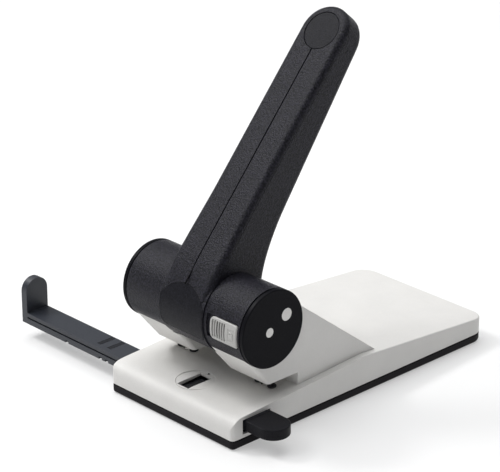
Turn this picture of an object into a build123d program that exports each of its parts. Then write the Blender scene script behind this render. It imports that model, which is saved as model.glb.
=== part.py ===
"""Heavy-duty two-hole punch: light cover, black drum with a long lever, pull-out paper guide, chip tray.

X runs along the drum, -Y is the side where paper goes in, +Z is up, and the base stands on Z = 0.
Everything is in millimetres. The lever stands in its released position.
"""
import os
from math import cos, radians, sin

from build123d import *

os.makedirs("parts", exist_ok=True)

# base: cover above, chip tray below
BASE_W, BASE_FRONT, BASE_REAR = 126.0, -130.0, 130.0
FRONT_CORNER_R, REAR_CORNER_R = 3.0, 13.0
TRAY_TOP, COVER_BOTTOM = 6.6, 7.1
WALL = 2.5
LIP_TOP, LIP_BACK, LIP_Z = 22.9, -119.5, 14.5      # rounded front lip of the paper table
CREST_Y, CREST_Z, REAR_Z = 0.0, 28.8, 18.4         # highest line of the cover, and its rear edge
TABLE_SLOPE = (CREST_Z - LIP_TOP) / (CREST_Y - LIP_BACK)

# punching: hole pattern, paper stop and throat
HOLE_SPACING, HOLE_D, STOP_DEPTH = 80.0, 6.0, 12.0
PIN_Y = -75.0
STOP_Y = PIN_Y + STOP_DEPTH
HUB_BOTTOM = 34.5
PIN_TIP, PIN_TOP = 35.2, 79.5
BUSH_R = 4.8

# drum and lever
AXIS_Y, AXIS_Z, DRUM_R, MID_R = -90.6, 78.3, 28.4, 29.3
MID_X, SHELL_X, CAP_X = 22.0, 57.2, 61.5
LEVER_ANGLE, LEVER_SWING = 49.3, 40.0
LEVER_LONG, LEVER_HALF, LEVER_FRONT = 200.5, 20.5, 33.6
PART_LINE = 28.7
AXLE_R = 5.0

# head cover: the light housing under and behind the drum
HEAD_X, HUB_IN = 57.5, 17.5
HUB_FRONT, HUB_CHIN_Y, HUB_CHIN_Z = -91.0, -111.4, 58.9
RIDGE_Y, RIDGE_Z, HEEL_Y = -64.0, 88.0, 14.5

# paper guide rail
RAIL_Y0, RAIL_Y1, RAIL_Z0, RAIL_Z1 = -117.2, -97.4, 11.2, 20.0
RAIL_X0, RAIL_X1, RAIL_STOP = -174.5, 64.0, 6.0

drum_plane = Plane(origin=(0, AXIS_Y, AXIS_Z), x_dir=(0, 1, 0), z_dir=(1, 0, 0))
arm_dir = (0, cos(radians(LEVER_ANGLE)), sin(radians(LEVER_ANGLE)))
arm_out = (0, -sin(radians(LEVER_ANGLE)), cos(radians(LEVER_ANGLE)))
arm_side = Plane(origin=(0, AXIS_Y, AXIS_Z), x_dir=arm_dir, z_dir=(1, 0, 0))
arm_face = Plane(origin=(0, AXIS_Y, AXIS_Z), x_dir=(1, 0, 0), z_dir=arm_out)


def table_z(y):
    """Height of the paper table at a distance along Y."""
    return CREST_Z + TABLE_SLOPE * (y - CREST_Y)


def save(node, name):
    node.part.label = name
    export_step(node.part, "parts/" + name + ".step")


def plan(inset):
    """Plan outline of the base: small front corners, large rear corners."""
    x, y0, y1 = BASE_W / 2 - inset, BASE_FRONT + inset, BASE_REAR - inset
    with BuildSketch(Plane.XY) as shape:
        with Locations((0, (y0 + y1) / 2)):
            Rectangle(2 * x, y1 - y0)
        fillet(shape.vertices().group_by(Axis.Y)[0], FRONT_CORNER_R)
        fillet(shape.vertices().group_by(Axis.Y)[-1], REAR_CORNER_R - inset)
    return shape.sketch


def cover_side(inset):
    """Side outline of the base cover: rounded lip, rising table, falling rear deck."""
    y0, y1 = BASE_FRONT + inset, BASE_REAR - inset
    bottom = COVER_BOTTOM - 5 * inset
    with BuildSketch(Plane.YZ) as shape:
        with BuildLine():
            Line((y0, bottom), (y0, LIP_Z))
            Spline(
                (y0, LIP_Z),
                (LIP_BACK, LIP_TOP - inset),
                tangents=[(0, 1), (1, TABLE_SLOPE)],
                tangent_scalars=[1.3, 1.3],
            )
            Polyline((LIP_BACK, LIP_TOP - inset), (CREST_Y, CREST_Z - inset), (y1, REAR_Z - inset),
                     (y1, bottom), (y0, bottom))
        make_face()
    return shape.sketch


def outline(plane, *points):
    """A face with straight edges through the points, on the given plane."""
    with BuildSketch(plane) as shape:
        with BuildLine():
            Polyline(*points, close=True)
        make_face()
    return shape.sketch


def box(x0, x1, y0, y1, z0, z1):
    """A plain block between two corners, used as a tool outside the part blocks."""
    return Pos((x0 + x1) / 2, (y0 + y1) / 2, (z0 + z1) / 2) * Box(
        x1 - x0, y1 - y0, z1 - z0, mode=Mode.PRIVATE)


def rod(radius, x0, x1, y=AXIS_Y, z=AXIS_Z):
    """A cylinder along X between two stations."""
    return Pos((x0 + x1) / 2, y, z) * Rot(0, 90, 0) * Cylinder(
        radius, x1 - x0, mode=Mode.PRIVATE)


def post(radius, x, y, z0, z1):
    """An upright cylinder."""
    return Pos(x, y, (z0 + z1) / 2) * Cylinder(radius, z1 - z0, mode=Mode.PRIVATE)


# ---------------------------------------------------------------- base cover
side_outer, side_inner = cover_side(0), cover_side(WALL)
plan_outer, plan_inner = plan(0), plan(WALL)
HINGE_Y, HINGE_Z, LUG_X, LUG_W = 128.2, 3.0, 38.0, 6.0
BOSSES = [(-50, 22), (50, 22), (-50, 105), (50, 105)]
DIE_SCREWS = [(s * HOLE_SPACING / 2 + d, PIN_Y - 2.0) for s in (-1, 1) for d in (-6.3, 6.3)]

with BuildPart() as base_cover:
    extrude(side_outer, amount=BASE_W / 2, both=True)
    extrude(plan_outer, amount=40, mode=Mode.INTERSECT)
    fillet(base_cover.faces().sort_by(Axis.Y)[-1].edges().group_by(Axis.Z)[-1], 1.2)
    with BuildPart(mode=Mode.SUBTRACT) as hollow:
        extrude(side_inner, amount=BASE_W / 2, both=True)
        extrude(plan_inner, amount=40, mode=Mode.INTERSECT)
    # opening below the head, sight window with its flat round field, rail slots in both flanks
    add(box(-54, 54, STOP_Y + 3, 11, 15, 40), mode=Mode.SUBTRACT)
    add(post(14.5, 0, -106.5, 23.2, 30), mode=Mode.SUBTRACT)
    add(box(-5.7, 5.7, -118.4, -96.0, 15, 30), mode=Mode.SUBTRACT)
    add(box(-70, -55, RAIL_Y0 - 0.5, RAIL_Y1 + 0.5, 10.4, 20.5), mode=Mode.SUBTRACT)
    add(box(55, 70, -120.5, -94.6, 9.6, 20.5), mode=Mode.SUBTRACT)
    # die bushes, die screws, screw bosses and hinge lugs
    for s in (-1, 1):
        add(post(BUSH_R + 0.1, s * HOLE_SPACING / 2, PIN_Y, 15, 30), mode=Mode.SUBTRACT)
        with BuildSketch(Plane.YZ.offset(s * LUG_X - LUG_W / 2)) as lug:
            with Locations((HINGE_Y, HINGE_Z)):
                Circle(1.8)
            with Locations(((126.2 + BASE_REAR) / 2, (HINGE_Z + 9) / 2)):
                Rectangle(BASE_REAR - 126.2, 9 - HINGE_Z)
        extrude(amount=LUG_W)
        add(rod(1.0, s * LUG_X - 6, s * LUG_X + 6, HINGE_Y, HINGE_Z), mode=Mode.SUBTRACT)
    for x, y in DIE_SCREWS:
        add(post(1.6, x, y, 15, 30), mode=Mode.SUBTRACT)
    for x, y in BOSSES:
        add(post(4.0, x, y, 12.0, 19.5 if y > 60 else 26.0))
        add(post(1.4, x, y, 10, 17), mode=Mode.SUBTRACT)
save(base_cover, "base_cover")

# ---------------------------------------------------------------- head cover
pedestal = outline(Plane.YZ, (STOP_Y, table_z(STOP_Y)), (CREST_Y, CREST_Z),
                   (HEEL_Y, CREST_Z - 0.08 * HEEL_Y), (RIDGE_Y, RIDGE_Z), (AXIS_Y, AXIS_Z), (STOP_Y, 50))
pedestal_hollow = outline(Plane.YZ, (STOP_Y + WALL, 10), (HEEL_Y - 4.8, 10), (HEEL_Y - 4.8, 27.3),
                          (RIDGE_Y - 1.7, RIDGE_Z - 2.1), (AXIS_Y, AXIS_Z), (STOP_Y + WALL, 56))
hub_side = outline(Plane.YZ, (HUB_FRONT, HUB_BOTTOM), (STOP_Y + 1, HUB_BOTTOM), (STOP_Y + 1, 62),
                   (AXIS_Y, AXIS_Z), (HUB_CHIN_Y, HUB_CHIN_Z))
hub_hollow = outline(Plane.YZ, (HUB_FRONT + 1.5, HUB_BOTTOM + WALL), (STOP_Y + 5, HUB_BOTTOM + WALL),
                     (STOP_Y + 5, 62), (AXIS_Y, AXIS_Z + 6), (HUB_CHIN_Y + 2.6, HUB_CHIN_Z + 1.5))

# a slot behind the drum lets the foot of the lever swing down; a thin liner closes it off inside
slot_room = rod(47.5, -MID_X - 1, MID_X + 1) & box(-30, 30, STOP_Y - 2, 20, 63, 130)
slot_liner = rod(49.5, -MID_X - 3, MID_X + 3) & box(-30, 30, STOP_Y, 20, 61, 130)
slot_liner &= extrude(pedestal, amount=30, both=True)

with BuildPart() as head_cover:
    extrude(pedestal, amount=HEAD_X, both=True)
    for s in (-1, 1):
        with BuildPart(Plane.YZ.offset(s * (HEAD_X + HUB_IN) / 2)) as hub:
            extrude(hub_side.moved(Location((s * (HEAD_X + HUB_IN) / 2, 0, 0))),
                    amount=(HEAD_X - HUB_IN) / 2, both=True)
            fillet(hub.edges().filter_by(lambda e: e.center().Y < -92 and abs(e.center().X) > 1
                                         and abs(e.bounding_box().size.X) < 1), 3.0)
            fillet(hub.edges().filter_by(Axis.X).sort_by(Axis.Y)[1], 1.5)
    with BuildPart(mode=Mode.SUBTRACT) as head_hollow:
        extrude(pedestal_hollow, amount=HEAD_X - WALL, both=True)
        for s in (-1, 1):
            extrude(hub_hollow.moved(Location((s * (HEAD_X + HUB_IN) / 2, 0, 0))),
                    amount=(HEAD_X - HUB_IN) / 2 - WALL, both=True)
    add(slot_liner)
    add(rod(DRUM_R, -70, 70), mode=Mode.SUBTRACT)
    # room for the turning middle of the drum and for the foot of the lever
    add(rod(MID_R + 0.5, -MID_X - 0.4, MID_X + 0.4), mode=Mode.SUBTRACT)
    add(slot_room, mode=Mode.SUBTRACT)
    for s in (-1, 1):
        add(post(3.4, s * HOLE_SPACING / 2, PIN_Y, 30, 40), mode=Mode.SUBTRACT)
save(head_cover, "head_cover")

# ---------------------------------------------------------------- steel inside the base
PLATE_Z0, PLATE_Z1 = 9.5, 12.0
LEG_TOP, DIE_TOP = 18.8, 21.6
BRACKET_SCREWS = [(-47, -46), (-33, -46), (33, -46), (47, -46)]

with BuildPart() as chassis_plate:
    add(box(-56, 56, -92, 116, PLATE_Z0, PLATE_Z1))
    fillet(chassis_plate.edges().filter_by(Axis.Z), 6)
    for s in (-1, 1):
        add(post(6, s * HOLE_SPACING / 2, PIN_Y, 5, 15), mode=Mode.SUBTRACT)
    for x, y in BOSSES:
        add(post(1.7, x, y, 5, 15), mode=Mode.SUBTRACT)
    for x, y in BRACKET_SCREWS:
        add(post(1.9, x, y, 5, 15), mode=Mode.SUBTRACT)
save(chassis_plate, "chassis_plate")

CHEEK_T, CHEEK_IN, CHEEK_OUT = 3.0, 27.0, 53.0
cheek_c = outline(Plane.YZ, (-87, 38), (-59.5, 38), (-59.5, LEG_TOP), (-88, LEG_TOP), (-88, PLATE_Z1),
                  (-34, PLATE_Z1), (-34, 56.5), (-97, 56.5))
cheek_neck = outline(Plane.YZ, (-97, 56), (-70, 56), (-79, AXIS_Z), (-102.2, AXIS_Z))

for s, name in ((-1, "left_bracket"), (1, "right_bracket")):
    with BuildPart() as bracket:
        for x in (CHEEK_IN, CHEEK_OUT - CHEEK_T):
            at = Location((s * (x + CHEEK_T / 2), 0, 0))
            extrude(cheek_c.moved(at), amount=CHEEK_T / 2, both=True)
            extrude(cheek_neck.moved(at), amount=CHEEK_T / 2, both=True)
            x0, x1 = sorted((s * x, s * (x + CHEEK_T)))
            add(rod(12, x0, x1))
        x0, x1 = sorted((s * CHEEK_IN, s * CHEEK_OUT))
        add(box(x0, x1, -37, -34, PLATE_Z1, 56.5))
        add(box(x0, x1, -59.5, -34, PLATE_Z1, PLATE_Z1 + CHEEK_T))
        for x, y in BRACKET_SCREWS:
            add(post(1.9, x, y, 5, 15.5), mode=Mode.SUBTRACT)
        add(rod(7, -60, 60), mode=Mode.SUBTRACT)
    save(bracket, name)

with BuildPart() as axle_bushes:
    for s in (-1, 1):
        for x in (CHEEK_IN, CHEEK_OUT - CHEEK_T):
            x0, x1 = sorted((s * x, s * (x + CHEEK_T)))
            add(rod(7, x0, x1) - rod(AXLE_R + 0.05, x0 - 1, x1 + 1))
save(axle_bushes, "axle_bushes")

for s, name in ((-1, "left_guide_block"), (1, "right_guide_block")):
    x = s * HOLE_SPACING / 2
    with BuildPart() as guide_block:
        add(box(x - 10, x + 10, -86, -60.8, 38, 50))
        fillet(guide_block.edges().filter_by(Axis.Z), 1.0)
        add(post(HOLE_D / 2 + 0.05, x, PIN_Y, 30, 60), mode=Mode.SUBTRACT)
    save(guide_block, name)

with BuildPart() as die_plate:
    add(box(-54, 54, -88, -61, LEG_TOP, DIE_TOP))
    for s in (-1, 1):
        add(post(BUSH_R, s * HOLE_SPACING / 2, PIN_Y, 10, 30), mode=Mode.SUBTRACT)
    for x, y in DIE_SCREWS:
        add(post(1.5, x, y, 10, 30), mode=Mode.SUBTRACT)
save(die_plate, "die_plate")

with BuildPart() as die_bushes:
    for s in (-1, 1):
        x = s * HOLE_SPACING / 2
        add(post(BUSH_R, x, PIN_Y, LEG_TOP, table_z(PIN_Y) - 0.1))
        add(post(HOLE_D / 2 + 0.06, x, PIN_Y, 10, 30), mode=Mode.SUBTRACT)
save(die_bushes, "die_bushes")

with BuildPart() as die_screws:
    for x, y in DIE_SCREWS:
        top = table_z(y) + 0.2
        add(post(1.5, x, y, LEG_TOP, top + 0.2))
        with BuildPart() as head:
            add(post(3.3, x, y, top, top + 1.6))
            fillet(head.faces().sort_by(Axis.Z)[-1].edges(), 1.0)
save(die_screws, "die_screws")

with BuildPart() as bracket_screws:
    for x, y in BRACKET_SCREWS:
        add(post(3.5, x, y, 7.3, PLATE_Z0))
        add(post(1.9, x, y, PLATE_Z0, PLATE_Z1 + CHEEK_T))
save(bracket_screws, "bracket_screws")

with BuildPart() as cover_screws:
    for x, y in BOSSES:
        add(post(3.4, x, y, 7.3, PLATE_Z0))
        add(post(1.4, x, y, PLATE_Z0, 17))
save(cover_screws, "cover_screws")

# ---------------------------------------------------------------- drum: fixed shells, caps, plugs
SLIDE_X0, SLIDE_X1, SLIDE_TRAVEL = 29.5, 55.5, 4.0
SLIDE_LOW, SLIDE_HIGH = -15.5, 18.0
BOLT_R, BOLT_OFF = 2.4, 21.0


def sector(r0, r1, low, high, x0, x1):
    """A piece of a tube about the drum axis between two angles above the front."""
    with BuildSketch(drum_plane.offset(x0)) as shape:
        with BuildLine():
            a0, a1 = 180 - low, 180 - high
            p = [(r * cos(radians(a)), r * sin(radians(a))) for r in (r0, r1) for a in (a0, a1)]
            mid = radians((a0 + a1) / 2)
            ThreePointArc(p[0], (r0 * cos(mid), r0 * sin(mid)), p[1])
            Line(p[1], p[3])
            ThreePointArc(p[3], (r1 * cos(mid), r1 * sin(mid)), p[2])
            Line(p[2], p[0])
        make_face()
    return extrude(shape.sketch, amount=x1 - x0, mode=Mode.PRIVATE)


recess = sector(DRUM_R - 1.5, DRUM_R + 2, SLIDE_LOW - 1, SLIDE_HIGH + 1, SLIDE_X0 - SLIDE_TRAVEL - 0.4,
                SLIDE_X1 + 0.4)
stem_slot = sector(15, DRUM_R, -3.5, 6.5, 38 - SLIDE_TRAVEL - 0.5, 46.5)

for s, name in ((-1, "left_drum_shell"), (1, "right_drum_shell")):
    x0, x1 = sorted((s * (MID_X + 0.4), s * SHELL_X))
    w0, w1 = sorted((s * (MID_X + 0.4), s * (MID_X + 2.4)))
    with BuildPart() as drum_shell:
        add(rod(DRUM_R, x0, x1) - rod(DRUM_R - WALL, x0 - 1, x1 + 1))
        add(rod(DRUM_R - 1, w0, w1))
        add(rod(AXLE_R + 3, -60, 60), mode=Mode.SUBTRACT)
        add(box(-60, 60, AXIS_Y - 40, AXIS_Y + 40, 40, 57), mode=Mode.SUBTRACT)
        add(box(-60, 60, AXIS_Y + 6.6, AXIS_Y + 40, 40, 84), mode=Mode.SUBTRACT)
        if s > 0:
            add(recess, mode=Mode.SUBTRACT)
            add(stem_slot, mode=Mode.SUBTRACT)
            add(rod(BOLT_R + 0.4, 20, 26, AXIS_Y - BOLT_OFF, AXIS_Z + 0.7), mode=Mode.SUBTRACT)
    save(drum_shell, name)

DOTS = ((12.7, 7.2, 4.6), (-3.3, -1.5, 3.4))

for s, name in ((-1, "left_end_cap"), (1, "right_end_cap")):
    f0, f1 = sorted((s * (SHELL_X + 0.8), s * CAP_X))
    n0, n1 = sorted((s * (SHELL_X - 2), s * (SHELL_X + 0.8)))
    g0, g1 = sorted((s * SHELL_X, s * (SHELL_X + 0.8)))
    with BuildPart() as end_cap:
        add(rod(DRUM_R, f0, f1))
        fillet(end_cap.edges().filter_by(GeomType.CIRCLE), 0.8)
        add(rod(DRUM_R - WALL - 0.05, n0, n1))
        add(rod(DRUM_R - 0.8, g0, g1))
        hollow = (-1, n1 - 0.8) if s > 0 else (n0 + 0.8, 1)
        add(rod(DRUM_R - WALL - 2, *hollow), mode=Mode.SUBTRACT)
        for y, z, r in DOTS:
            add(rod(r, *sorted((s * (CAP_X - 2.5), s * 70)), AXIS_Y + y, AXIS_Z + z), mode=Mode.SUBTRACT)
    save(end_cap, name)

for (y, z, r), name in zip(DOTS, ("large_cap_plugs", "small_cap_plugs")):
    with BuildPart() as cap_plugs:
        for s in (-1, 1):
            add(rod(r, *sorted((s * (CAP_X - 2.5), s * CAP_X)), AXIS_Y + y, AXIS_Z + z))
    save(cap_plugs, name)

# ---------------------------------------------------------------- lever
BACK_TIP, BACK_MID, MID_S = 14.0, 0.5, 86.0


def arm(inset):
    """The lever's arm: wedge side view, round tip, rounded long edges."""
    half, end = LEVER_HALF - inset, LEVER_LONG + LEVER_HALF - inset
    front = LEVER_FRONT - inset
    with BuildSketch(arm_side) as side:
        with BuildLine():
            Spline((-12.4, 26.5 - inset), (24, front), tangents=[(0.906, 0.423), (1, 0)])
            Polyline((24, front), (end, front), (end, BACK_TIP + inset), (MID_S, BACK_MID + inset))
            Spline((MID_S, BACK_MID + inset), (24 - inset, -17 + inset), tangents=[(-1, -0.1), (-0.8, -0.6)])
            Polyline((24 - inset, -17 + inset), (0, 0), (-12.4, 26.5 - inset))
        make_face()
    with BuildSketch(arm_face) as face:
        with BuildLine():
            Polyline((half, LEVER_LONG), (half, 70), (MID_X - inset, 22), (MID_X - inset, -20),
                     (-MID_X + inset, -20), (-MID_X + inset, 22), (-half, 70), (-half, LEVER_LONG))
            RadiusArc((-half, LEVER_LONG), (half, LEVER_LONG), half)
        make_face()
    body = extrude(side.sketch, amount=30, both=True, mode=Mode.PRIVATE)
    body &= extrude(face.sketch, amount=60, both=True, mode=Mode.PRIVATE)
    return body


def on_arm(s, n, shape):
    """Place a tool on the lever: s along the arm, n out from the drum axis."""
    return Location(arm_face) * Pos(0, s, n) * shape


def round_tool(radius, height):
    return Cylinder(radius, height, mode=Mode.PRIVATE)


def local(edge):
    """Middle of an edge as (along the arm, out of its face)."""
    p = arm_side.to_local_coords(edge.center())
    return p.X, p.Y


def rounded_arm(inset):
    body = arm(inset)
    r = 4.6 - inset
    rim = [e for e in body.edges() if local(e)[1] > LEVER_FRONT - inset - 0.5 and local(e)[0] > 30]
    body = body.fillet(r, rim)
    half = LEVER_HALF - inset
    back = [e for e in body.edges() if local(e)[0] > 95 and local(e)[1] < 20 - inset
            and abs(e.bounding_box().size.X) < 1]
    return body.fillet(r, back)


arm_outer, arm_inner = rounded_arm(0), rounded_arm(WALL)
lever_outer = arm_outer + rod(MID_R, -MID_X, MID_X)
lever_inner = arm_inner + rod(MID_R - WALL, -MID_X + WALL, MID_X - WALL)
lever_skin = lever_outer - lever_inner

LABEL_SEAM = 0.25


def label_block(gap):
    """The label panel's arched outline, run right through the front of the lever."""
    w = MID_X - 0.6 - gap
    with BuildSketch(Plane.XZ.offset(-AXIS_Y)) as label_shape:
        with BuildLine():
            Polyline((-w, 88), (-w, 64 + gap), (w, 64 + gap), (w, 88))
            ThreePointArc((w, 88), (0, 99.5 - gap), (-w, 88))
        make_face()
        fillet(label_shape.vertices().group_by(Axis.Y)[0], 4 - gap)
    return extrude(label_shape.sketch, amount=60, mode=Mode.PRIVATE)


front_half = Location(arm_side) * Pos(110, PART_LINE + 0.15 + 25, 0) * Box(320, 50, 80)
rear_half = Location(arm_side) * Pos(110, PART_LINE - 0.15 - 50, 0) * Box(320, 100, 80)
label_pocket = (lever_outer & label_block(0)) - rod(MID_R - 1.2, -MID_X, MID_X)
label_body = (lever_outer & label_block(LABEL_SEAM)) - rod(MID_R - 1.2, -MID_X, MID_X)
disc_pocket = on_arm(LEVER_LONG, LEVER_FRONT + 0.8, round_tool(14.6, 4))
groove = on_arm((LEVER_LONG - 14.6 - 1) / 2, LEVER_FRONT + 0.1, Box(1.0, LEVER_LONG - 13.6, 2.2))

with BuildPart() as lever_front_shell:
    add(lever_skin & front_half)
    add(label_pocket, mode=Mode.SUBTRACT)
    add(disc_pocket, mode=Mode.SUBTRACT)
    add(groove, mode=Mode.SUBTRACT)
save(lever_front_shell, "lever_front_shell")

SCREW_S = (95, 140, 185)

with BuildPart() as lever_rear_shell:
    add(lever_skin & rear_half)
    add(label_pocket, mode=Mode.SUBTRACT)
    add(rod(AXLE_R + 4, -30, 30), mode=Mode.SUBTRACT)
    for a in (0, LEVER_SWING):
        y = AXIS_Y - BOLT_OFF * cos(radians(a))
        z = AXIS_Z + 0.7 - BOLT_OFF * sin(radians(a))
        add(rod(BOLT_R + 0.6, 15, 25, y, z), mode=Mode.SUBTRACT)
    for at in SCREW_S:
        add(on_arm(at, 5, round_tool(3.1, 30)), mode=Mode.SUBTRACT)
save(lever_rear_shell, "lever_rear_shell")

with BuildPart() as label_plate:
    add(label_body)
save(label_plate, "label_plate")

with BuildPart() as thumb_disc:
    add(on_arm(LEVER_LONG, LEVER_FRONT - 0.65, round_tool(14.2, 1.1)))
    outward = Axis(origin=(0, 0, 0), direction=arm_out)
    fillet(thumb_disc.edges().filter_by(GeomType.CIRCLE).sort_by(outward)[-1], 0.4)
save(thumb_disc, "thumb_disc")

with BuildPart() as lever_core:
    add(rod(14, -19, 19))
    add(on_arm(80, 15, Box(22, 160, 6, mode=Mode.PRIVATE)))
    add(rod(AXLE_R, -30, 30), mode=Mode.SUBTRACT)
save(lever_core, "lever_core")

with BuildPart() as lever_screws:
    for at in SCREW_S:
        low = BACK_MID + (at - MID_S) * (BACK_TIP - BACK_MID) / (LEVER_LONG + LEVER_HALF - MID_S)
        add(on_arm(at, low + 2.4, round_tool(3.0, 2.4)))
        add(on_arm(at, low + 4.8, round_tool(1.5, 2.4)))
save(lever_screws, "lever_screws")

with BuildPart() as axle:
    add(rod(AXLE_R, -56, 56))
    chamfer(axle.edges().filter_by(GeomType.CIRCLE), 0.8)
save(axle, "axle")

CAM_REACH, CAM_ANGLE, NOSE_R = 16.2, LEVER_SWING / 2, 4.0
cam_plane = Plane(origin=(0, AXIS_Y, AXIS_Z), x_dir=(0, cos(radians(CAM_ANGLE)), sin(radians(CAM_ANGLE))),
                  z_dir=(1, 0, 0))

for s, name in ((-1, "left_cam"), (1, "right_cam")):
    with BuildPart() as cam:
        with BuildSketch(cam_plane.offset(s * HOLE_SPACING / 2 - 4)):
            Circle(8)
            with Locations((CAM_REACH, 0)):
                Circle(NOSE_R)
            with BuildLine():
                Polyline((0, 8), (CAM_REACH, NOSE_R), (CAM_REACH, 0),
                         (12.3, -2.6), (6, -5.2), (0, -8), close=True)
            make_face()
            Circle(AXLE_R, mode=Mode.SUBTRACT)
        extrude(amount=8)
    save(cam, name)

# ---------------------------------------------------------------- punch pins and their springs
for s, side_name in ((-1, "left"), (1, "right")):
    x = s * HOLE_SPACING / 2
    with BuildPart() as punch_pin:
        add(post(HOLE_D / 2, x, PIN_Y, PIN_TIP, PIN_TOP))
        chamfer(punch_pin.edges().sort_by(Axis.Z)[-1], 0.6)
        add(post(1.9, x, PIN_Y, PIN_TIP - 1, PIN_TIP + 5), mode=Mode.SUBTRACT)
    save(punch_pin, side_name + "_punch_pin")
    with BuildPart() as pin_collar:
        add(post(5.2, x, PIN_Y, 73, 75.6) - post(HOLE_D / 2, x, PIN_Y, 70, 80))
    save(pin_collar, side_name + "_pin_collar")
    with BuildPart() as pin_spring:
        with BuildLine(Plane.XY.offset(50.8).move(Location((x, PIN_Y, 0)))):
            coil = Helix(pitch=21.5 / 7, height=21.5, radius=4.0)
        with BuildSketch(Plane(origin=coil @ 0, z_dir=coil % 0)):
            Circle(0.5)
        sweep(path=coil, is_frenet=True)
    save(pin_spring, side_name + "_pin_spring")

# ---------------------------------------------------------------- lock slider
with BuildPart() as lock_slider:
    add(sector(DRUM_R - 1.3, DRUM_R + 1.0, SLIDE_LOW, SLIDE_HIGH, SLIDE_X0, SLIDE_X1))
    fillet(lock_slider.edges().filter_by(lambda e: abs(e.bounding_box().size.Y) > 1.5
                                         and e.bounding_box().size.Z < 2).group_by(Axis.X)[0], 3.0)
    add(sector(18.0, DRUM_R - 1.0, -2.5, 5.5, 38.0, 45.5))
    for i in range(6):
        x = SLIDE_X0 + 4.2 + 2.3 * i
        add(sector(DRUM_R + 0.5, DRUM_R + 2, SLIDE_LOW + 2, SLIDE_HIGH - 2, x, x + 1.0), mode=Mode.SUBTRACT)
save(lock_slider, "lock_slider")

with BuildPart() as lock_bolt:
    add(rod(BOLT_R, 23.6, 38.0, AXIS_Y - BOLT_OFF, AXIS_Z + 0.7))
save(lock_bolt, "lock_bolt")

# ---------------------------------------------------------------- paper guide rail
RAIL_MID = (RAIL_Y0 + RAIL_Y1) / 2
GRIP_R = 12.0

with BuildPart() as guide_rail:
    add(box(RAIL_X0, RAIL_X1, RAIL_Y0, RAIL_Y1, RAIL_Z0, RAIL_Z1))
    for y in (RAIL_Y0, RAIL_Y1):
        add(box(RAIL_X0 - 1, RAIL_X1 - 6, y - 1.2, y + 1.2, 15.6, 17.0), mode=Mode.SUBTRACT)
    for x in (-85, -92, -130):
        add(box(x, x + 3.2, RAIL_Y0 - 1, RAIL_Y0 + 1.6, RAIL_Z0 - 1, RAIL_Z0 + 2.0), mode=Mode.SUBTRACT)
    with BuildSketch(Plane.YZ.offset(RAIL_X0 - RAIL_STOP)):
        with Locations((RAIL_MID, (RAIL_Z0 + 36) / 2)):
            Rectangle(RAIL_Y1 - RAIL_Y0, 36 - RAIL_Z0)
        with Locations((RAIL_MID, 36)):
            Circle((RAIL_Y1 - RAIL_Y0) / 2)
    extrude(amount=RAIL_STOP)
save(guide_rail, "guide_rail")

with BuildPart() as rail_grip:
    with BuildSketch(Plane.XY.offset(12.0)):
        with Locations(((RAIL_X1 + 79) / 2, RAIL_MID)):
            Rectangle(79 - RAIL_X1, 2 * GRIP_R)
        with Locations((79, RAIL_MID)):
            Circle(GRIP_R)
    extrude(amount=RAIL_Z1 - 12.0)
    fillet(rail_grip.faces().sort_by(Axis.Z)[0].edges(), 1.0)
    fillet(rail_grip.faces().sort_by(Axis.Z)[-1].edges().filter_by(lambda e: e.center().X > RAIL_X1 + 1), 0.8)
save(rail_grip, "rail_grip")

with BuildPart() as rail_guide:
    add(box(-60.4, 46, RAIL_Y0 - 2.6, RAIL_Y1 + 2.6, 8.8, 10.8))
    for y0, y1 in ((RAIL_Y0 - 2.6, RAIL_Y0 - 0.4), (RAIL_Y1 + 0.4, RAIL_Y1 + 2.6)):
        add(box(-60.4, 46, y0, y1, 10.8, 18))
    add(box(-14, 14, RAIL_MID - 3, RAIL_MID + 3, 8, 12), mode=Mode.SUBTRACT)
save(rail_guide, "rail_guide")

with BuildPart() as rail_spring:
    add(box(-14, 14, RAIL_MID - 2.7, RAIL_MID + 2.7, 9.6, 10.2))
save(rail_spring, "rail_spring")

# ---------------------------------------------------------------- chip tray with feet
tray_plan, tray_hollow_plan = plan(0), plan(2.4)

with BuildPart() as chip_tray:
    extrude(tray_plan, amount=TRAY_TOP)
    fillet(chip_tray.faces().sort_by(Axis.Z)[0].edges(), 2.0)
    extrude(tray_hollow_plan.moved(Location((0, 0, 2))), amount=20, mode=Mode.SUBTRACT)
    chamfer(chip_tray.edges().filter_by(Axis.X).filter_by(
        lambda e: e.center().Y > BASE_REAR - 0.1 and e.center().Z > TRAY_TOP - 0.1), 0.6)
    for s in (-1, 1):
        for d in (-1, 1):
            x0, x1 = sorted((s * LUG_X + d * (LUG_W / 2 + 0.4), s * LUG_X + d * (LUG_W / 2 + 3.5)))
            add(box(x0, x1, 125.6, 129.2, 0.8, 5.0))
        gap0, gap1 = s * LUG_X - LUG_W / 2 - 0.4, s * LUG_X + LUG_W / 2 + 0.4
        add(box(gap0, gap1, 125.8, 135, -1, 10), mode=Mode.SUBTRACT)
        add(rod(1.05, s * LUG_X - 6.2, s * LUG_X + 6.2, HINGE_Y, HINGE_Z), mode=Mode.SUBTRACT)
    FEET = [(-50, -112), (50, -112), (-46, 108), (46, 108)]
    for x, y in FEET:
        add(post(7, x, y, 0, 1), mode=Mode.SUBTRACT)
save(chip_tray, "chip_tray")

with BuildPart() as tray_hinge_pins:
    for s in (-1, 1):
        add(rod(1.0, s * LUG_X - 6, s * LUG_X + 6, HINGE_Y, HINGE_Z))
save(tray_hinge_pins, "tray_hinge_pins")

with BuildPart() as rubber_feet:
    for x, y in FEET:
        add(post(7, x, y, 0, 1))
save(rubber_feet, "rubber_feet")
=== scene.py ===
from math import cos, pi, radians, sin

import bmesh
import bpy
from mathutils import Matrix, Vector


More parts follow.
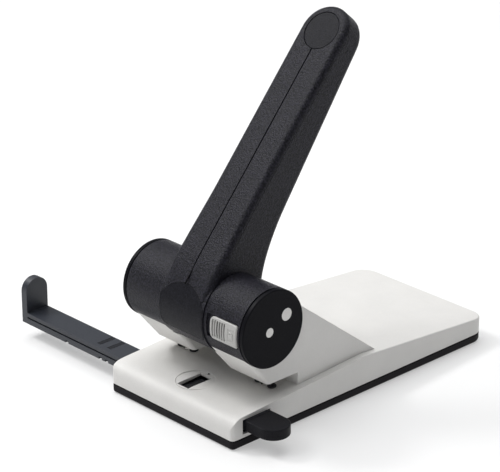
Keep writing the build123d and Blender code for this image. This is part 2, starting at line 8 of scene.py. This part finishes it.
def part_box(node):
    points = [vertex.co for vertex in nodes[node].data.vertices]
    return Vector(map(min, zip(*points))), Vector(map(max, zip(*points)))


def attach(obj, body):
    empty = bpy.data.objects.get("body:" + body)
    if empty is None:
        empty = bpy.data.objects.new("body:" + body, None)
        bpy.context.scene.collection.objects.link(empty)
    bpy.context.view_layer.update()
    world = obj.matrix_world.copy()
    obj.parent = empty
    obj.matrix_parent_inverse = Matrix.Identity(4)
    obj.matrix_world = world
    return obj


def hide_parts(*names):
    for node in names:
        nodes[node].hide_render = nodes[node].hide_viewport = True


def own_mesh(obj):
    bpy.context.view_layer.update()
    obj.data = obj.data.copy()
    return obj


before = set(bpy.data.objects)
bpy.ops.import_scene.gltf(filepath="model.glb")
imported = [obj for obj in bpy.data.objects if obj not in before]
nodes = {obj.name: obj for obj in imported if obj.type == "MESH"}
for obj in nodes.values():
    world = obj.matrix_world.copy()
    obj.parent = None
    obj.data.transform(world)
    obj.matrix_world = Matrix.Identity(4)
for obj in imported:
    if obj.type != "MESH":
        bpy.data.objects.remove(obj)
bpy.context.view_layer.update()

# ------------------------------------------------------------------ base cover
# The large light shell of the base, moulded in one piece in warm light grey plastic with
# a fine texture. It carries the table, the lip and the rear deck, and four screws hold it
# to the steel plate from below.

COVER_GREY = (0.675, 0.665, 0.645)
FLECK_FROM, FLECK_TO = 0.42, 0.64
NOISE_LOW, NOISE_HIGH = 0.3, 0.7
BROAD_PATCH = 0.03
EDGE_STARTS, EDGE_FULL, EDGE_WEAR_AND_HIGHLIGHT = 0.995, 0.90, 0.55
GLOSS_SPREAD = 0.06


def moulded(name, colour, fleck, rough, grain, depth, edge=None, edge_width=0.0004,
             mottle=0.03, sheen=0.42):
    """Moulded plastic: grain is the texture's size and depth its height, both in metres."""
    material = bpy.data.materials.new(name)
    material.use_nodes = True
    tree = material.node_tree
    shader = tree.nodes["Principled BSDF"]
    shader.inputs["Specular IOR Level"].default_value = sheen
    place = tree.nodes.new("ShaderNodeTexCoord")

    def noise(size, detail):
        n = tree.nodes.new("ShaderNodeTexNoise")
        n.inputs["Scale"].default_value = 1 / size
        n.inputs["Detail"].default_value = detail
        n.inputs["Roughness"].default_value = 0.6
        tree.links.new(place.outputs["Object"], n.inputs["Vector"])
        return n

    fine = noise(grain, 3)
    broad = noise(BROAD_PATCH, 4)

    speck = tree.nodes.new("ShaderNodeValToRGB")
    speck.color_ramp.elements[0].position = FLECK_FROM
    speck.color_ramp.elements[1].position = FLECK_TO
    speck.color_ramp.elements[0].color = (*colour, 1)
    speck.color_ramp.elements[1].color = (*fleck, 1)
    tree.links.new(fine.outputs["Fac"], speck.inputs["Fac"])

    tint = tree.nodes.new("ShaderNodeMapRange")
    tint.inputs["From Min"].default_value = NOISE_LOW
    tint.inputs["From Max"].default_value = NOISE_HIGH
    tint.inputs["To Min"].default_value = 1 - mottle
    tint.inputs["To Max"].default_value = 1 + mottle
    tree.links.new(broad.outputs["Fac"], tint.inputs["Value"])
    shade = tree.nodes.new("ShaderNodeVectorMath")
    shade.operation = "SCALE"
    tree.links.new(speck.outputs["Color"], shade.inputs[0])
    tree.links.new(tint.outputs["Result"], shade.inputs["Scale"])
    surface = shade.outputs["Vector"]

    # Edges are mixed towards a lighter colour along their rounding: partly wear, partly a painted highlight
    # on the rounded edges.
    if edge:
        rounded = tree.nodes.new("ShaderNodeBevel")
        rounded.samples = 4
        rounded.inputs["Radius"].default_value = edge_width
        true = tree.nodes.new("ShaderNodeNewGeometry")
        turn = tree.nodes.new("ShaderNodeVectorMath")
        turn.operation = "DOT_PRODUCT"
        tree.links.new(rounded.outputs["Normal"], turn.inputs[0])
        tree.links.new(true.outputs["Normal"], turn.inputs[1])
        wear_and_highlight = tree.nodes.new("ShaderNodeMapRange")
        wear_and_highlight.inputs["From Min"].default_value = EDGE_STARTS
        wear_and_highlight.inputs["From Max"].default_value = EDGE_FULL
        wear_and_highlight.inputs["To Max"].default_value = EDGE_WEAR_AND_HIGHLIGHT
        tree.links.new(turn.outputs["Value"], wear_and_highlight.inputs["Value"])
        mix = tree.nodes.new("ShaderNodeMix")
        mix.data_type = "RGBA"
        mix.inputs["B"].default_value = (*edge, 1)
        tree.links.new(wear_and_highlight.outputs["Result"], mix.inputs["Factor"])
        tree.links.new(surface, mix.inputs["A"])
        surface = mix.outputs["Result"]
    tree.links.new(surface, shader.inputs["Base Color"])

    gloss = tree.nodes.new("ShaderNodeMapRange")
    gloss.inputs["From Min"].default_value = NOISE_LOW
    gloss.inputs["From Max"].default_value = NOISE_HIGH
    gloss.inputs["To Min"].default_value = rough - GLOSS_SPREAD
    gloss.inputs["To Max"].default_value = rough + GLOSS_SPREAD
    tree.links.new(fine.outputs["Fac"], gloss.inputs["Value"])
    tree.links.new(gloss.outputs["Result"], shader.inputs["Roughness"])

    relief = tree.nodes.new("ShaderNodeBump")
    relief.inputs["Strength"].default_value = 1.0
    relief.inputs["Distance"].default_value = depth
    tree.links.new(fine.outputs["Fac"], relief.inputs["Height"])
    if edge:
        tree.links.new(rounded.outputs["Normal"], relief.inputs["Normal"])
    tree.links.new(relief.outputs["Normal"], shader.inputs["Normal"])
    return material


def finish_node(name, material):
    """Gives a carried-over part its material."""
    part = nodes[name]
    part.data.materials.clear()
    part.data.materials.append(material)
    return part


cover_grey = moulded("cover_grey", COVER_GREY, (0.725, 0.715, 0.695), 0.52, 0.00035, 0.00001,
                     edge=(0.74, 0.73, 0.71))
finish_node("base_cover", cover_grey)

WINDOW_MIDDLE = (0.0, -0.1065)
FIELD_Z = 0.0232
RING_R, RING_HALF, RING_HEIGHT = 0.0143, 0.00032, 0.00032
RING_SUNK = 0.00005
RING_STEPS = 144


def make_piece(name, shape, material, body):
    """Turns a finished shape into a piece that rides on a body."""
    bmesh.ops.recalc_face_normals(shape, faces=shape.faces)
    mesh = bpy.data.meshes.new(name)
    shape.to_mesh(mesh)
    shape.free()
    mesh.materials.append(material)
    piece = bpy.data.objects.new(name, mesh)
    bpy.context.scene.collection.objects.link(piece)
    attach(piece, body)
    return piece


def raised_ring(name, middle, radius, low, material, body):
    """A fine rounded bead standing on a flat face."""
    profile = [(-RING_HALF, 0.0), (-RING_HALF * 0.9, RING_HEIGHT * 0.7), (-RING_HALF * 0.4, RING_HEIGHT),
               (RING_HALF * 0.4, RING_HEIGHT), (RING_HALF * 0.9, RING_HEIGHT * 0.7), (RING_HALF, 0.0)]
    shape = bmesh.new()
    rows = []
    for k in range(RING_STEPS):
        t = 2 * pi * k / RING_STEPS
        rows.append([shape.verts.new((middle[0] + (radius + out) * cos(t),
                                      middle[1] + (radius + out) * sin(t),
                                      low + height)) for out, height in profile])
    for k in range(RING_STEPS):
        a, b = rows[k], rows[(k + 1) % RING_STEPS]
        for i in range(len(profile)):
            j = (i + 1) % len(profile)
            shape.faces.new((a[i], a[j], b[j], b[i])).smooth = True
    make_piece(name, shape, material, body)


raised_ring("window_ring", WINDOW_MIDDLE, RING_R, FIELD_Z - RING_SUNK, cover_grey, "frame")


def slab(name, outline, low, high, material, body, soft=0.0):
    """A thin flat piece from an outline in plan, with its edges eased by soft."""
    shape = bmesh.new()
    under, top = ([shape.verts.new((x, y, z)) for x, y in outline] for z in (low, high))
    shape.faces.new(under)
    shape.faces.new(top)
    for i in range(len(outline)):
        j = (i + 1) % len(outline)
        shape.faces.new((under[i], under[j], top[j], top[i]))
    piece = make_piece(name, shape, material, body)
    if soft:
        ease = piece.modifiers.new("ease", "BEVEL")
        ease.width, ease.segments, ease.limit_method = soft, 2, "ANGLE"


# A small gloss pointer stands beside the window.
POINTER = ((-0.0017, -0.0923), (0.0003, -0.0923), (-0.0007, -0.0942))
POINTER_SUNK, POINTER_HEIGHT = 0.0001, 0.00025
gloss_black = moulded("gloss_black", (0.010, 0.011, 0.014), (0.013, 0.014, 0.018), 0.20, 0.0008, 0.000004)
slab("window_pointer", POINTER, FIELD_Z - POINTER_SUNK, FIELD_Z + POINTER_HEIGHT,
     gloss_black, "frame")

# ------------------------------------------------------------------ head cover
# The pedestal and the two hubs that close in the punching gear, moulded from the same
# light grey plastic. It stands over the brackets, on the base cover.

finish_node("head_cover", cover_grey)

# ------------------------------------------------------------------ steel works
# The chassis plate, brackets, die plate, guide blocks, lever core and cams are pressed
# steel, and the axle, bushes, collars, bolt, pins and screws are turned. All are plated and
# sit out of sight.


MARKS_PER_METRE = 900
MARK_SHADE = 0.8
PLATE_SPREAD = 0.08
MARK_DEPTH = 0.00001


def plated(name, colour, rough, stretch):
    """Plated steel with the fine drawn marks of rolling or turning along one axis."""
    material = bpy.data.materials.new(name)
    material.use_nodes = True
    tree = material.node_tree
    shader = tree.nodes["Principled BSDF"]
    shader.inputs["Metallic"].default_value = 1.0
    place = tree.nodes.new("ShaderNodeTexCoord")
    drawn = tree.nodes.new("ShaderNodeMapping")
    drawn.inputs["Scale"].default_value = stretch
    tree.links.new(place.outputs["Object"], drawn.inputs["Vector"])
    marks = tree.nodes.new("ShaderNodeTexNoise")
    marks.inputs["Scale"].default_value = MARKS_PER_METRE
    marks.inputs["Detail"].default_value = 5
    tree.links.new(drawn.outputs["Vector"], marks.inputs["Vector"])
    tone = tree.nodes.new("ShaderNodeValToRGB")
    tone.color_ramp.elements[0].color = (*[c * MARK_SHADE for c in colour], 1)
    tone.color_ramp.elements[1].color = (*colour, 1)
    tree.links.new(marks.outputs["Fac"], tone.inputs["Fac"])
    tree.links.new(tone.outputs["Color"], shader.inputs["Base Color"])
    gloss = tree.nodes.new("ShaderNodeMapRange")
    gloss.inputs["To Min"].default_value = rough - PLATE_SPREAD
    gloss.inputs["To Max"].default_value = rough + PLATE_SPREAD
    tree.links.new(marks.outputs["Fac"], gloss.inputs["Value"])
    tree.links.new(gloss.outputs["Result"], shader.inputs["Roughness"])
    relief = tree.nodes.new("ShaderNodeBump")
    relief.inputs["Distance"].default_value = MARK_DEPTH
    tree.links.new(marks.outputs["Fac"], relief.inputs["Height"])
    tree.links.new(relief.outputs["Normal"], shader.inputs["Normal"])
    return material


steel = plated("plated_steel", (0.62, 0.62, 0.61), 0.36, (1, 0.08, 1))
turned = plated("turned_steel", (0.66, 0.66, 0.66), 0.26, (0.1, 1, 1))
for name in ("chassis_plate", "left_bracket", "right_bracket", "die_plate", "left_guide_block",
             "right_guide_block", "lever_core", "left_cam", "right_cam"):
    finish_node(name, steel)
for name in ("axle", "axle_bushes", "die_bushes", "bracket_screws", "cover_screws",
             "tray_hinge_pins", "left_pin_collar", "right_pin_collar", "lock_bolt"):
    finish_node(name, turned)

# ------------------------------------------------------------------ punch pins
# Two steel pins, bored hollow at the tip and bright along the ground shank. Each runs in
# its guide block and is lifted by a coil spring of steel wire under its collar.

ground = plated("ground_steel", (0.70, 0.70, 0.70), 0.18, (1, 1, 0.05))
wire = plated("spring_wire", (0.52, 0.52, 0.53), 0.3, (1, 1, 1))

COIL_R, WIRE_R = 0.0040, 0.0005
COIL_LOW, COIL_HIGH = 0.0503, 0.0728
PIN_X, PIN_Y = 0.0400, -0.0750
OPEN_TURNS, CLOSED_TURNS = 6, 1
STEPS_ROUND, WIRE_SIDES = 40, 12
CLOSED_PITCH = 2.1 * WIRE_R


def coil_rise(turn):
    """Height of the wire's middle after so many turns, with the end turns wound closed."""
    open_height = COIL_HIGH - COIL_LOW - 2 * WIRE_R - 2 * CLOSED_TURNS * CLOSED_PITCH
    low = min(turn, CLOSED_TURNS) * CLOSED_PITCH
    middle = min(max(turn - CLOSED_TURNS, 0), OPEN_TURNS) * open_height / OPEN_TURNS
    high = max(turn - CLOSED_TURNS - OPEN_TURNS, 0) * CLOSED_PITCH
    return COIL_LOW + WIRE_R + low + middle + high


def coil(name, x, y):
    """A wire swept round its helix, closed by a flat face at each end."""
    shape = bmesh.new()
    rings = []
    for k in range((OPEN_TURNS + 2 * CLOSED_TURNS) * STEPS_ROUND + 1):
        turn = k / STEPS_ROUND
        t = 2 * pi * turn
        out = Vector((cos(t), sin(t), 0))
        middle = Vector((x, y, coil_rise(turn))) + out * COIL_R
        rings.append([shape.verts.new(middle + WIRE_R * (out * cos(a) + Vector((0, 0, sin(a)))))
                      for a in (2 * pi * i / WIRE_SIDES for i in range(WIRE_SIDES))])
    for a, b in zip(rings, rings[1:]):
        for i in range(WIRE_SIDES):
            j = (i + 1) % WIRE_SIDES
            shape.faces.new((a[i], a[j], b[j], b[i])).smooth = True
    shape.faces.new(rings[0])
    shape.faces.new(rings[-1])
    return make_piece(name, shape, wire, "frame")


for side, x in (("left", -PIN_X), ("right", PIN_X)):
    finish_node(side + "_punch_pin", ground)
    spring = coil(side + "_return_spring", x, PIN_Y)
    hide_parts(side + "_pin_spring")
    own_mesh(spring)

# ------------------------------------------------------------------ die screws
# Four small dome-headed screws, blackened, that hold the die plate up against the table
# on either side of each hole.

black_steel = plated("black_steel", (0.05, 0.05, 0.055), 0.38, (1, 1, 1))
finish_node("die_screws", black_steel)

# ------------------------------------------------------------------ drum and lever shells
# Charcoal plastic with a coarse moulded grain. The lever is two shells that clasp a steel
# core, screwed from behind, and the drum's two shells flank its foot.

CHARCOAL = (0.004, 0.004, 0.006)
CHARCOAL_FLECK = (0.026, 0.025, 0.036)
black_grain = moulded("black_grain", CHARCOAL, CHARCOAL_FLECK, 0.38, 0.0011, 0.00060,
                      edge=(0.045, 0.045, 0.055), edge_width=0.0006, mottle=0.06, sheen=0.18)
for name in ("left_drum_shell", "right_drum_shell", "lever_front_shell", "lever_rear_shell"):
    finish_node(name, black_grain)
finish_node("lever_screws", black_steel)

# ------------------------------------------------------------------ label panel and thumb disc
# A blank panel let into the lever's foot, and a shallow disc at its tip. Both are moulded
# in the lever's colour with a finer grain, and are let in from the front.

fine_grain = moulded("fine_grain", (0.004, 0.004, 0.006), (0.016, 0.016, 0.022), 0.42, 0.0008, 0.00030,
                     edge=(0.02, 0.02, 0.025), edge_width=0.0005, sheen=0.11)
finish_node("label_plate", fine_grain)
finish_node("thumb_disc", fine_grain)

LABEL_HALF, LABEL_LOW, LABEL_SHOULDER, LABEL_TOP = 0.0214, 0.0640, 0.0880, 0.0995
LABEL_CORNER = 0.0040
ARCH_STEPS, CORNER_STEPS, OUTLINE_STEP = 12, 6, 0.0008
SEAM_R, SEAM_SUNK = 0.00022, 0.55
IN_FRONT = -0.2


def label_outline():
    """The panel's arched outline, seen square on, as evenly spaced points."""
    rise = LABEL_TOP - LABEL_SHOULDER
    radius = (LABEL_HALF ** 2 + rise ** 2) / (2 * rise)
    reach = LABEL_HALF / radius
    path = [(LABEL_HALF, LABEL_LOW + LABEL_CORNER), (LABEL_HALF, LABEL_SHOULDER)]
    for k in range(1, 2 * ARCH_STEPS):
        t = reach * (1 - k / ARCH_STEPS)
        path.append((radius * sin(t), LABEL_TOP - radius * (1 - cos(t))))
    path += [(-LABEL_HALF, LABEL_SHOULDER), (-LABEL_HALF, LABEL_LOW + LABEL_CORNER)]
    for side, start in ((-1, pi), (1, 1.5 * pi)):
        for k in range(1, CORNER_STEPS + 1):
            t = start + pi / 2 * k / CORNER_STEPS
            path.append((side * (LABEL_HALF - LABEL_CORNER) + LABEL_CORNER * cos(t),
                         LABEL_LOW + LABEL_CORNER + LABEL_CORNER * sin(t)))
    points = []
    for a, b in zip(path, path[1:] + path[:1]):
        steps = max(1, int(((a[0] - b[0]) ** 2 + (a[1] - b[1]) ** 2) ** 0.5 / OUTLINE_STEP))
        points += [(a[0] + (b[0] - a[0]) * k / steps, a[1] + (b[1] - a[1]) * k / steps)
                   for k in range(steps)]
    return points


# The panel's seam is traced for a dark bead: painted shade along the seam.
seam_points = []
for x, z in label_outline():
    hits = []
    for name in ("label_plate", "lever_front_shell", "lever_rear_shell"):
        struck, where, _, _ = nodes[name].ray_cast(Vector((x, IN_FRONT, z)), Vector((0, 1, 0)))
        if struck:
            hits.append(where.y)
    if hits:
        seam_points.append((x, min(hits) + SEAM_R * SEAM_SUNK, z))
# Painted shade: a near-black, dull finish for the beads in the lever's seams and groove.
seam_shade = moulded("seam_shade", (0.003, 0.003, 0.004), (0.005, 0.005, 0.006),
                     0.5, 0.0006, 0.000004, sheen=0.05)


def shade_line(name, points, radius, closed):
    """A fine dark bead along the bottom of a seam or groove of the lever: painted shade in the seam or
    groove.
    """
    line = bpy.data.curves.new(name, "CURVE")
    line.dimensions = "3D"
    line.bevel_depth = radius
    line.bevel_resolution = 2
    line.use_fill_caps = not closed
    run = line.splines.new("POLY")
    run.points.add(len(points) - 1)
    for point, place in zip(run.points, points):
        point.co = (*place, 1)
    run.use_cyclic_u = closed
    line.materials.append(seam_shade)
    piece = bpy.data.objects.new(name, line)
    bpy.context.scene.collection.objects.link(piece)
    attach(piece, "lever")


shade_line("label_seam", seam_points, SEAM_R, True)

# A straight groove runs down the lever from the disc to the panel, with a dark bead on its floor as painted
# shade.
LEVER_LEAN = radians(49.3)
AXIS_Y, AXIS_Z = -0.0906, 0.0783
GROOVE_FROM, GROOVE_TO, GROOVE_FLOOR = 0.0002, 0.1855, 0.0326
GROOVE_R = 0.00048


def on_lever(along, out):
    """A point on the lever's middle plane, along it from the axle and out from its line."""
    return (0.0, AXIS_Y + along * cos(LEVER_LEAN) - out * sin(LEVER_LEAN),
            AXIS_Z + along * sin(LEVER_LEAN) + out * cos(LEVER_LEAN))


shade_line("lever_groove", [on_lever(along, GROOVE_FLOOR) for along in (GROOVE_FROM, GROOVE_TO)],
          GROOVE_R, False)

# ------------------------------------------------------------------ end caps and plugs
# Smooth satin black discs that close the drum. Each has two off-white plugs pressed into
# blind holes, a large one and a small one.

black_smooth = moulded("black_smooth", (0.005, 0.005, 0.007), (0.008, 0.008, 0.010), 0.42, 0.0009, 0.000006,
                       edge=(0.018, 0.018, 0.022), edge_width=0.0005, sheen=0.05)
for name in ("left_end_cap", "right_end_cap"):
    finish_node(name, black_smooth)
off_white = moulded("off_white", (0.72, 0.71, 0.69), (0.76, 0.75, 0.73), 0.45, 0.0006, 0.000008)
finish_node("large_cap_plugs", off_white)
finish_node("small_cap_plugs", off_white)

# ------------------------------------------------------------------ lock slider
# A light grey thumb slider let into the drum, with upright ribs for grip. Pushed inwards,
# its steel bolt enters the lever's foot and holds the lever down.

slider_grey = moulded("slider_grey", (0.44, 0.435, 0.42), (0.47, 0.465, 0.45), 0.5, 0.0004, 0.00001,
                      edge=(0.60, 0.595, 0.58), edge_width=0.0004)

SLIDER_X = (0.0295, 0.0555)
SLIDER_TURN = (radians(-15.5), radians(18.0))
SLIDER_OUT, SLIDER_IN = 0.0294, 0.0271
SLIDER_HALF = SLIDER_OUT * (SLIDER_TURN[1] - SLIDER_TURN[0]) / 2
LEFT_CORNER, RIGHT_CORNER = 0.0038, 0.0014
EDGE_ROUND = 0.0007
RIB_FIRST, RIB_PITCH, RIB_COUNT = 0.0322, 0.0023, 6
RIB_HALF, RIB_DEPTH, RIB_MARGIN, RIB_RUNOUT = 0.00062, 0.0017, 0.0019, 0.0007
RIB_FLANK = (RIB_HALF * 0.55, RIB_HALF * 1.25)
GROOVE_SHADE_DEPTH = 0.5 * RIB_DEPTH
PADLOCK_X, PADLOCK_HEIGHT = 0.0502, 0.00042
BODY_HALF_X, BODY_HALF_V, BODY_V = 0.0021, 0.0017, -0.0014
SHACKLE_R, SHACKLE_HALF, SHACKLE_V, SHACKLE_FOOT = 0.00145, 0.0004, 0.0008, 0.0003
MARK_FLANK = (-0.0001, 0.0002)
FIELD_HALF, FIELD_SQUARE, FIELD_V, FIELD_FADE = 0.0034, 0.0014, -0.0004, 0.0006
ACROSS, ROUND = 156, 104


def on_drum(x, turn, radius):
    return Vector((x, AXIS_Y - radius * cos(turn), AXIS_Z + radius * sin(turn)))


def smooth_step(low, high, value):
    t = min(max((value - low) / (high - low), 0), 1)
    return t * t * (3 - 2 * t)


def slider_limits(v):
    """How far the plate reaches left and right at height v, with its corners rounded."""
    ends = []
    for corner in (LEFT_CORNER, RIGHT_CORNER):
        past = max(abs(v) - (SLIDER_HALF - corner), 0)
        ends.append(corner - max(corner ** 2 - past ** 2, 0) ** 0.5)
    return SLIDER_X[0] + ends[0], SLIDER_X[1] - ends[1]


def slider_height(x, v):
    """How far the plate's face stands from the axle: rounded rim, ribs and a plain padlock mark."""
    left, right_end = slider_limits(v)
    inset = min(x - left, right_end - x, SLIDER_HALF - abs(v))
    drop = EDGE_ROUND * (1 - min(inset / EDGE_ROUND, 1)) ** 2
    for rib in range(RIB_COUNT):
        off = abs(x - RIB_FIRST - rib * RIB_PITCH)
        cut = 1 - smooth_step(*RIB_FLANK, off)
        drop += RIB_DEPTH * cut * smooth_step(0, RIB_RUNOUT, SLIDER_HALF - RIB_MARGIN - abs(v))
    aside = abs(x - PADLOCK_X)
    body = max(aside - BODY_HALF_X, abs(v - BODY_V) - BODY_HALF_V)
    bow = abs((aside ** 2 + (v - SHACKLE_V) ** 2) ** 0.5 - SHACKLE_R) - SHACKLE_HALF
    shackle = max(bow, SHACKLE_FOOT - v)
    field = FIELD_HALF - max(aside, abs(v - FIELD_V) - FIELD_SQUARE)
    drop += PADLOCK_HEIGHT * smooth_step(*MARK_FLANK, min(body, shackle)) * smooth_step(0, FIELD_FADE, field)
    return SLIDER_OUT - drop


def slider_shape():
    """The plate as a closed shape: its worked face, its plain back and the rim between them."""
    middle = (SLIDER_TURN[0] + SLIDER_TURN[1]) / 2
    shape = bmesh.new()
    faces = []
    for outer in (True, False):
        rows = []
        for j in range(ROUND + 1):
            v = -SLIDER_HALF + 2 * SLIDER_HALF * j / ROUND
            left, right_end = slider_limits(v)
            row = []
            for i in range(ACROSS + 1):
                x = left + (right_end - left) * i / ACROSS
                radius = slider_height(x, v) if outer else SLIDER_IN
                row.append(shape.verts.new(on_drum(x, middle + v / SLIDER_OUT, radius)))
            rows.append(row)
        faces.append(rows)
        for j in range(ROUND):
            for i in range(ACROSS):
                face = shape.faces.new((rows[j][i], rows[j][i + 1], rows[j + 1][i + 1], rows[j + 1][i]))
                middle_out = face.calc_center_median() - Vector((0, AXIS_Y, AXIS_Z))
                middle_out.x = 0
                # Painted shade: faces sunk deep in the rib grooves take the second, darker material.
                if outer and middle_out.length < SLIDER_OUT - GROOVE_SHADE_DEPTH:
                    face.material_index = 1
    rim_top, rim_under = (rows[0] + [row[-1] for row in rows[1:]] + rows[-1][-2::-1]
                          + [row[0] for row in rows[-2:0:-1]] for rows in faces)
    for k in range(len(rim_top)):
        n = (k + 1) % len(rim_top)
        shape.faces.new((rim_top[k], rim_top[n], rim_under[n], rim_under[k]))
    for face in shape.faces:
        face.smooth = True
    return shape


# Painted shade: a darker grey for the bottoms of the rib grooves, standing for the shade that falls in them.
groove_shade = moulded("groove_shade", (0.10, 0.098, 0.094), (0.14, 0.137, 0.13), 0.6, 0.0004, 0.00001)
plate = make_piece("lock_slider_plate", slider_shape(), slider_grey, "lock")
plate.data.materials.append(groove_shade)
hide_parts("lock_slider")

# The stem under the plate carries the steel bolt.
STEM_X, STEM_TURN, STEM_IN = (0.0380, 0.0455), (radians(-2.5), radians(5.5)), 0.0180
STEM_EDGE = 0.0003
stem_shape = bmesh.new()
ring = [stem_shape.verts.new(on_drum(x, turn, radius)) for radius in (STEM_IN, SLIDER_IN)
        for x, turn in ((STEM_X[0], STEM_TURN[0]), (STEM_X[1], STEM_TURN[0]),
                        (STEM_X[1], STEM_TURN[1]), (STEM_X[0], STEM_TURN[1]))]
for face in ((0, 1, 2, 3), (4, 5, 6, 7), (0, 1, 5, 4), (1, 2, 6, 5), (2, 3, 7, 6), (3, 0, 4, 7)):
    stem_shape.faces.new([ring[i] for i in face])
stem = make_piece("lock_slider_stem", stem_shape, slider_grey, "lock")
stem_ease = stem.modifiers.new("ease", "BEVEL")
stem_ease.width, stem_ease.segments = STEM_EDGE, 2

# ------------------------------------------------------------------ paper guide
# A blue-black channel-section rail with an upright stop at its left end and a round grip
# at its right. It slides in a guide under the table and clicks against a leaf spring.

blue_black = moulded("blue_black", (0.019, 0.022, 0.030), (0.028, 0.032, 0.042), 0.40, 0.0008, 0.00001,
                     edge=(0.045, 0.050, 0.064), edge_width=0.0004, sheen=0.42)
for name in ("guide_rail", "rail_guide"):
    finish_node(name, blue_black)
finish_node("rail_spring", wire)

MARK_HEIGHT = 0.00012
MARK_PLACES = (-0.0971, -0.0861)
MARK_WIDE = 0.0042
MARK_Y = (-0.1129, -0.0985)
MARK_SUNK, MARK_EDGE = 0.0004, 0.00004
RAIL_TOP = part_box("rail_grip")[1].z

# Two plain gloss bars let into the rail show where the usual sheet widths stop.
for number, x in enumerate(MARK_PLACES):
    slab(f"format_bar_{number + 1}", [(x - MARK_WIDE / 2, y) for y in (MARK_Y[1], MARK_Y[0])]
         + [(x + MARK_WIDE / 2, y) for y in MARK_Y], RAIL_TOP - MARK_SUNK, RAIL_TOP + MARK_HEIGHT,
         gloss_black, "paper_guide", MARK_EDGE)

# A blank dark gloss strip lies along the rail under the window at rest: painted shade on the rail seen
# through the window.
SHADE_STRIP_X, SHADE_STRIP_Y, SHADE_STRIP_HEIGHT = (-0.0160, 0.0160), (-0.1160, -0.0986), 0.00008
slab("window_shade_strip", [(SHADE_STRIP_X[0], SHADE_STRIP_Y[0]), (SHADE_STRIP_X[1], SHADE_STRIP_Y[0]),
                     (SHADE_STRIP_X[1], SHADE_STRIP_Y[1]), (SHADE_STRIP_X[0], SHADE_STRIP_Y[1])],
     RAIL_TOP - MARK_SUNK, RAIL_TOP + SHADE_STRIP_HEIGHT, gloss_black, "paper_guide")

grip_black = moulded("grip_black", (0.008, 0.008, 0.010), (0.014, 0.014, 0.017), 0.40, 0.0007, 0.00001,
                     edge=(0.045, 0.045, 0.052), edge_width=0.0005, sheen=0.08)
finish_node("rail_grip", grip_black)

# ------------------------------------------------------------------ chip tray and feet
# A black tray that closes the whole underside and catches the chips. It swings down on two
# steel pins at the rear, and four rubber pads sit flush in its floor.

tray_black = moulded("tray_black", (0.009, 0.008, 0.010), (0.015, 0.014, 0.016), 0.48, 0.0008, 0.00002,
                     edge=(0.022, 0.022, 0.026), edge_width=0.0005, sheen=0.08)
finish_node("chip_tray", tray_black)
pad_rubber = moulded("pad_rubber", (0.040, 0.040, 0.039), (0.060, 0.060, 0.058), 0.85, 0.0005, 0.00003)
finish_node("rubber_feet", pad_rubber)

# ------------------------------------------------------------------ floor, light and camera
# A wide pale sweep, a broad overhead light, a soft fill from the front left, and a long
# lens from the front right.

FLOOR_Z = -0.0003
FLOOR_HALF = 30.0
sheet = bmesh.new()
bmesh.ops.create_grid(sheet, x_segments=8, y_segments=8, size=FLOOR_HALF)
floor_mesh = bpy.data.meshes.new("floor")
sheet.to_mesh(floor_mesh)
sheet.free()
floor = bpy.data.objects.new("floor", floor_mesh)
floor.location = (0, 0, FLOOR_Z)
bpy.context.scene.collection.objects.link(floor)
paper_white = bpy.data.materials.new("paper_white")
paper_white.use_nodes = True
sweep = paper_white.node_tree
matt = sweep.nodes["Principled BSDF"]
matt.inputs["Base Color"].default_value = (0.52, 0.52, 0.52, 1)
matt.inputs["Roughness"].default_value = 0.9
matt.inputs["Emission Color"].default_value = (1, 1, 1, 1)
matt.inputs["Emission Strength"].default_value = 0.38
# The sweep is seen from above only, so that the punch can be looked at from below.
see_through = sweep.nodes.new("ShaderNodeBsdfTransparent")
side_seen = sweep.nodes.new("ShaderNodeNewGeometry")
one_way = sweep.nodes.new("ShaderNodeMixShader")
sweep.links.new(side_seen.outputs["Backfacing"], one_way.inputs["Fac"])
sweep.links.new(matt.outputs["BSDF"], one_way.inputs[1])
sweep.links.new(see_through.outputs["BSDF"], one_way.inputs[2])
sweep.links.new(one_way.outputs["Shader"], sweep.nodes["Material Output"].inputs["Surface"])
floor_mesh.materials.append(paper_white)


def lamp(name, kind, place, aim, power, spread):
    light = bpy.data.lights.new(name, kind)
    light.energy = power
    if kind == "SUN":
        light.angle = spread
    else:
        light.shape = "RECTANGLE"
        light.size, light.size_y = spread
    holder = bpy.data.objects.new(name, light)
    holder.location = place
    holder.rotation_euler = (Vector(aim) - Vector(place)).to_track_quat("-Z", "Y").to_euler()
    bpy.context.scene.collection.objects.link(holder)


lamp("overhead", "SUN", (-0.5, 0.45, 2.1), (0, 0, 0), 2.1, radians(65))
lamp("front_fill", "SUN", (-0.9, -1.3, 1.9), (0, 0, 0), 0.75, radians(26))
lamp("drum_glow", "AREA", (-1.0, -0.5, 1.3), (0, -0.06, 0.09), 12.0, (0.4, 0.3))

studio = bpy.data.worlds.new("studio")
studio.use_nodes = True
studio.node_tree.nodes["Background"].inputs["Color"].default_value = (0.95, 0.97, 1.0, 1)
studio.node_tree.nodes["Background"].inputs["Strength"].default_value = 0.20
bpy.context.scene.world = studio
bpy.context.scene.view_settings.view_transform = "Standard"

VIEW_TURN, VIEW_RISE = radians(46.4), radians(22.9)
VIEW_PLACE = Vector((1.0808, -1.0830, 0.7478))
LENS_MM = 167.26
back = Vector((sin(VIEW_TURN) * cos(VIEW_RISE), -cos(VIEW_TURN) * cos(VIEW_RISE), sin(VIEW_RISE)))
right = Vector((cos(VIEW_TURN), sin(VIEW_TURN), 0))
up = back.cross(right)
lens = bpy.data.cameras.new("camera")
lens.sensor_width = 36.0
lens.lens = LENS_MM
lens.clip_end = 100.0
camera = bpy.data.objects.new("camera", lens)
camera.matrix_world = Matrix.Translation(VIEW_PLACE) @ Matrix((right, up, back)).transposed().to_4x4()
bpy.context.scene.collection.objects.link(camera)
bpy.context.scene.camera = camera
